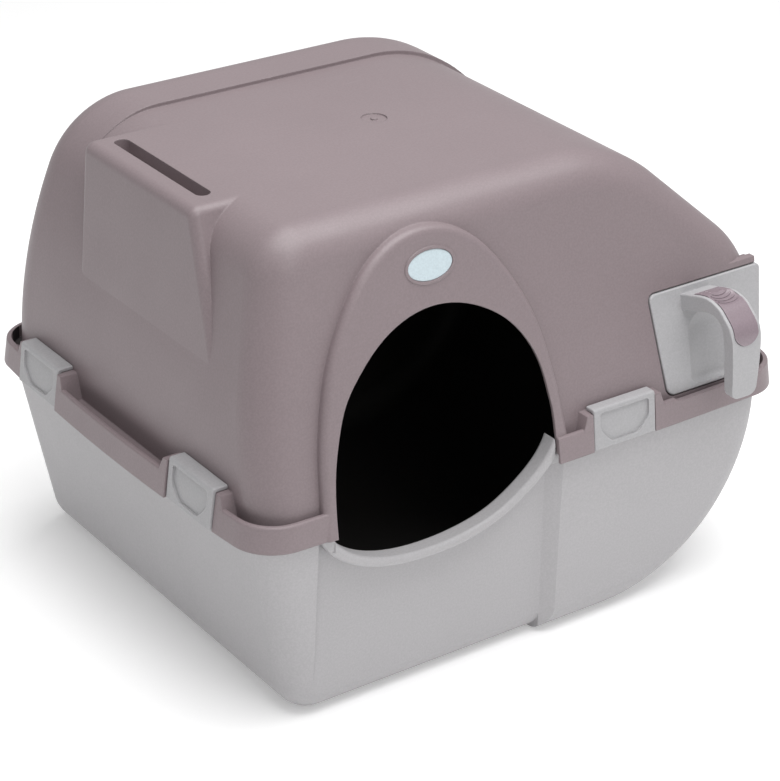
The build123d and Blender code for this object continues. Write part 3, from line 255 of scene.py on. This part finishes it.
HOOD = srgb(134, 121, 124)
GREY = srgb(172, 170, 172)
M_HOOD = plastic("hood_plastic_outer", HOOD, rough=0.42, grain=0.9, scuffs=0.10, edge=0.20, mottle=0.03, bevel=0.0016)
# the dark inner materials are painted shade for the enclosed interior of the shells, not the plastic's own colour
M_HOOD_INNER_SHADE = plastic("hood_plastic_inner_shade", srgb(46, 41, 42), rough=0.62, grain=0.7, edge=0.05, mottle=0.08)
M_BASE = plastic("base_plastic_outer", GREY, rough=0.50, grain=0.8, scuffs=0.10, edge=0.15, mottle=0.02, foot=True)
M_BASE_INNER_SHADE = plastic("base_plastic_inner_shade", srgb(60, 58, 57), rough=0.62, grain=0.6, edge=0.05, mottle=0.08)
M_CLIP = plastic("clip_plastic", srgb(165, 164, 166), rough=0.42, grain=0.5, scuffs=0.25, edge=0.22, mottle=0.02)
M_TRAY = plastic("tray_plastic", srgb(172, 171, 173), rough=0.46, grain=0.6, scuffs=0.20, edge=0.20, mottle=0.02)
M_TROUGH = plastic("trough_plastic", srgb(150, 150, 149), rough=0.52, grain=0.5, scuffs=0.4, edge=0.12, mottle=0.04)
M_LATCH = plastic("latch_plastic", srgb(138, 124, 131), rough=0.26, grain=0.25, scuffs=0.25, edge=0.30, mottle=0.02, spec=0.7)
M_GRILL = plastic("grill_plastic", srgb(64, 58, 59), rough=0.5, grain=0.5, scuffs=0.3, edge=0.20, mottle=0.05)
M_INNER = plastic("inner_plastic", srgb(64, 58, 59), rough=0.55, grain=0.5, edge=0.12, mottle=0.05)
M_BADGE = plastic("badge_plastic", srgb(196, 210, 216), rough=0.28, grain=0.15, edge=0.10, mottle=0.02)
M_PIN = steel("pin_steel", (0.62, 0.62, 0.61), 0.26)
M_SCREW = steel("screw_steel", (0.58, 0.57, 0.53), 0.32)
M_SPRING = steel("spring_steel", (0.42, 0.42, 0.43), 0.3)

LOOK = {
    "hood_shell": M_HOOD, "base_shell": M_BASE, "clip_front": M_CLIP, "clip_left_front": M_CLIP, "clip_left_rear": M_CLIP,
    "clip_back_right": M_CLIP, "clip_back_left": M_CLIP, "clip_hinge_pins": M_PIN, "sieve_grill": M_GRILL,
    "tray_rail_left": M_INNER, "tray_rail_right": M_INNER, "clump_guide": M_INNER, "inner_screws": M_SCREW,
    "tray_trough": M_TROUGH, "tray_front": M_TRAY, "tray_screws": M_SCREW, "tray_latch": M_LATCH, "latch_pin": M_PIN,
    "latch_spring": M_SPRING, "oval_badge": M_BADGE,
}
for name, mat in LOOK.items():
    o = NODES[name]
    o.data.materials.clear()
    o.data.materials.append(mat)

# rays leave an outside face freely, while those of an inside face end on the shells; enclosed inside faces get the dark
# inner material, painted shade for the unlit interior
verts, faces = [], []
for name in ("hood_shell", "base_shell"):
    o, k = NODES[name], len(verts)
    verts += [o.matrix_world @ v.co for v in o.data.vertices]
    faces += [[k + i for i in p.vertices] for p in o.data.polygons]
shells = BVHTree.FromPolygons(verts, faces)
RAYS = []
for ring, count, height in ((0, 1, 0.98), (1, 5, 0.80), (2, 7, 0.50)):
    for i in range(count):
        a = 2.0 * math.pi * (i + 0.5 * ring) / count
        RAYS.append((math.cos(a) * math.sqrt(1 - height ** 2), math.sin(a) * math.sqrt(1 - height ** 2), height))


def open_share(p, n):
    """share of the rays from a face that meet neither shell"""
    q = n.to_track_quat("Z", "Y")
    start = p + n * 0.0004
    free = sum(1 for r in RAYS if shells.ray_cast(start, q @ Vector(r), 3.0)[0] is None)
    return free / len(RAYS)


# enclosed inside faces are switched to the dark painted-shade material
for name, mat, test in (("hood_shell", M_HOOD_INNER_SHADE, hood_inside), ("base_shell", M_BASE_INNER_SHADE, base_inside)):
    me = NODES[name].data
    me.materials.append(mat)
    for p in me.polygons:
        if test(p.center, p.normal) and open_share(p.center, p.normal) < 0.45:
            p.material_index = 1

# ------------------------------------------------------------------ floor, light, camera
me = bpy.data.meshes.new("floor")
s = 14.0
me.from_pydata([(-s, -s, -0.0004), (s, -s, -0.0004), (s, s, -0.0004), (-s, s, -0.0004)], [], [(0, 1, 2, 3)])
floor = bpy.data.objects.new("floor", me)
bpy.context.scene.collection.objects.link(floor)
fm, fnt, fb = _new("floor_paper")
ftc = fnt.nodes.new("ShaderNodeTexCoord")
fnt.links.new(_mix(fnt, _noise(fnt, ftc.outputs["Object"], 3.0, 3.0), (0.90, 0.90, 0.90), (0.92, 0.92, 0.92)), fb.inputs["Base Color"])
fb.inputs["Roughness"].default_value = 0.75
fb.inputs["Emission Color"].default_value = (1.0, 1.0, 1.0, 1.0)
fb.inputs["Emission Strength"].default_value = 0.22
floor.data.materials.append(fm)

world = bpy.data.worlds.new("studio")
bpy.context.scene.world = world
world.use_nodes = True
bg = world.node_tree.nodes.get("Background")
bg.inputs["Color"].default_value = (1.0, 1.0, 1.0, 1.0)
bg.inputs["Strength"].default_value = 0.34


def softbox(name, loc, target, size, power, size_y=None, color=(1, 1, 1)):
    ld = bpy.data.lights.new(name, "AREA")
    ld.shape = "RECTANGLE"
    ld.size = size
    ld.size_y = size_y or size
    ld.energy = power
    ld.color = color
    ob = bpy.data.objects.new(name, ld)
    ob.location = loc
    ob.rotation_mode = "QUATERNION"
    ob.rotation_quaternion = (Vector(target) - Vector(loc)).to_track_quat("-Z", "Y")
    bpy.context.scene.collection.objects.link(ob)
    return ob


softbox("top_box", (0.15, -0.35, 2.5), (0.0, 0.0, 0.3), 2.4, 74.0)
softbox("front_box", (-0.25, -2.75, 1.9), (0.0, -0.1, 0.25), 1.6, 12.5)
softbox("left_box", (-2.6, -0.3, 1.3), (-0.1, 0.0, 0.25), 1.4, 0.5)

yaw, pitch, roll = math.radians(35.4789), math.radians(27.4001), math.radians(0.8178)
fw = Vector((math.sin(yaw) * math.cos(pitch), math.cos(yaw) * math.cos(pitch), -math.sin(pitch)))
rt = Vector((math.cos(yaw), -math.sin(yaw), 0.0))
up = rt.cross(fw)
x_ax = rt * math.cos(roll) + up * math.sin(roll)
y_ax = up * math.cos(roll) - rt * math.sin(roll)
cam_data = bpy.data.cameras.new("camera")
cam = bpy.data.objects.new("camera", cam_data)
bpy.context.scene.collection.objects.link(cam)
cam.matrix_world = Matrix(((x_ax.x, y_ax.x, -fw.x, -1.2533), (x_ax.y, y_ax.y, -fw.y, -1.7665),
                           (x_ax.z, y_ax.z, -fw.z, 1.2783), (0, 0, 0, 1)))
cam_data.sensor_fit = "AUTO"
cam_data.sensor_width = 36.0
cam_data.lens = 2669.70 * 36.0 / 781.0
cam_data.clip_start, cam_data.clip_end = 0.05, 60.0
bpy.context.scene.camera = cam
bpy.context.scene.view_settings.view_transform = "Standard"
bpy.context.scene.view_settings.look = "None"
